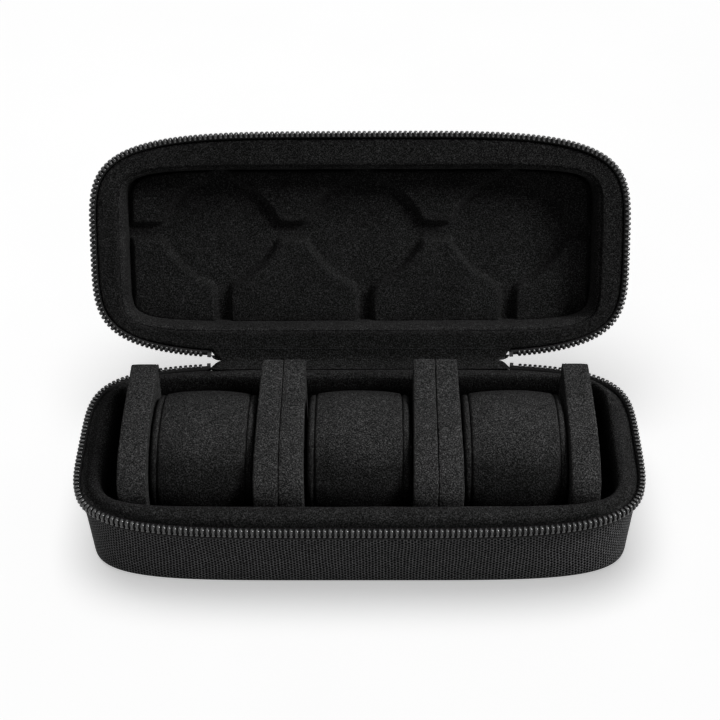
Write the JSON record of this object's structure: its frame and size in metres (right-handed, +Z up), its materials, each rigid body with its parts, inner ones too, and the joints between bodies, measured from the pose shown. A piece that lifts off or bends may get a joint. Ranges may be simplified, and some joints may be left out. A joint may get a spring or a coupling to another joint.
{
  "type": "watch travel case",
  "caption": "Zipped hard travel case: watch pillows lift out from between padded cheeks in the base, and the fabric-hinged lid is lined with round padded recesses.",
  "frame": {"origin": "centre of the base's flat underside, on the surface that the case stands on", "axes": "+X along the case's width to the right, +Y from the front to the hinge, +Z up"},
  "size_m": [0.265, 0.1874, 0.1396],
  "materials": {
    "nylon_weave": "black ballistic nylon, coarse basket weave with a slight sheen",
    "eva_foam": "moulded black foam, hidden between cover and lining",
    "pillow_foam": "soft black foam, hidden in the pillow",
    "unit_board": "thin stiff board faced with black lining",
    "cheek_suede": "black suede-like velour on padding",
    "pillow_suede": "black suede-like velour on padding",
    "lining_suede": "black suede-like velour lining",
    "zip_tape": "black woven zip tape",
    "zip_teeth": "glossy black nylon coil",
    "rim_piping": "smooth narrow black binding",
    "zip_metal": "black lacquered metal"
  },
  "bodies": {
    "base": {"base_cover": "nylon_weave", "base_shell": "eva_foam", "base_lining": "lining_suede", "base_tape": "zip_tape", "base_teeth": "zip_teeth", "base_piping": "rim_piping", "base_stop_left": "zip_metal", "base_stop_right": "zip_metal", "hinge_base_leaf": "nylon_weave", "hinge_base_flap": "lining_suede", "board_left": "unit_board", "board_middle": "unit_board", "board_right": "unit_board", "cheek_left_outer": "cheek_suede", "cheek_left_inner": "cheek_suede", "cheek_middle_left": "cheek_suede", "cheek_middle_right": "cheek_suede", "cheek_right_inner": "cheek_suede", "cheek_right_outer": "cheek_suede"},
    "lid": {"lid_cover": "nylon_weave", "lid_shell": "eva_foam", "lid_lining": "lining_suede", "lid_panel": "lining_suede", "lid_band": "lining_suede", "lid_tape": "zip_tape", "lid_teeth": "zip_teeth", "lid_piping": "rim_piping", "lid_stop_left": "zip_metal", "lid_stop_right": "zip_metal", "hinge_lid_leaf": "nylon_weave", "hinge_lid_flap": "lining_suede"},
    "slider_left": {"slider_left": "zip_metal"},
    "slider_right": {"slider_right": "zip_metal"},
    "pull_left": {"pull_left": "zip_metal"},
    "pull_right": {"pull_right": "zip_metal"},
    "pillow_left": {"pillow_left_cover": "pillow_suede", "pillow_left_core": "pillow_foam", "pillow_left_ring_a": "pillow_suede", "pillow_left_ring_b": "pillow_suede"},
    "pillow_middle": {"pillow_middle_cover": "pillow_suede", "pillow_middle_core": "pillow_foam", "pillow_middle_ring_a": "pillow_suede", "pillow_middle_ring_b": "pillow_suede"},
    "pillow_right": {"pillow_right_cover": "pillow_suede", "pillow_right_core": "pillow_foam", "pillow_right_ring_a": "pillow_suede", "pillow_right_ring_b": "pillow_suede"}
  },
  "joints": [
    {"name": "lid_hinge", "type": "hinge", "parent": "base", "child": "lid", "pos_m": [0, 0.0565, 0.042], "axis": [-1, 0, 0], "range_deg": [-120, 0]},
    {"name": "slider_left_travel", "type": "hinge", "parent": "base", "child": "slider_left", "pos_m": [-0.07471, -0.05892, 0.042], "axis": [0, 0, -1], "range_deg": [0, 9.06]},
    {"name": "slider_right_travel", "type": "hinge", "parent": "base", "child": "slider_right", "pos_m": [0.07471, -0.05892, 0.042], "axis": [0, 0, 1], "range_deg": [0, 9.06]},
    {"name": "pull_left_swing", "type": "hinge", "parent": "slider_left", "child": "pull_left", "pos_m": [-0.1047, 0.05367, 0.0395], "axis": [0.966, 0.2587, 0], "range_deg": [0, 70]},
    {"name": "pull_right_swing", "type": "hinge", "parent": "slider_right", "child": "pull_right", "pos_m": [0.1047, 0.05367, 0.0395], "axis": [0.966, -0.2587, 0], "range_deg": [0, 70]},
    {"name": "pillow_left_lift", "type": "slide", "parent": "base", "child": "pillow_left", "axis": [0, 0, 1], "range_m": [0, 0.06]},
    {"name": "pillow_middle_lift", "type": "slide", "parent": "base", "child": "pillow_middle", "axis": [0, 0, 1], "range_m": [0, 0.06]},
    {"name": "pillow_right_lift", "type": "slide", "parent": "base", "child": "pillow_right", "axis": [0, 0, 1], "range_m": [0, 0.06]}
  ]
}
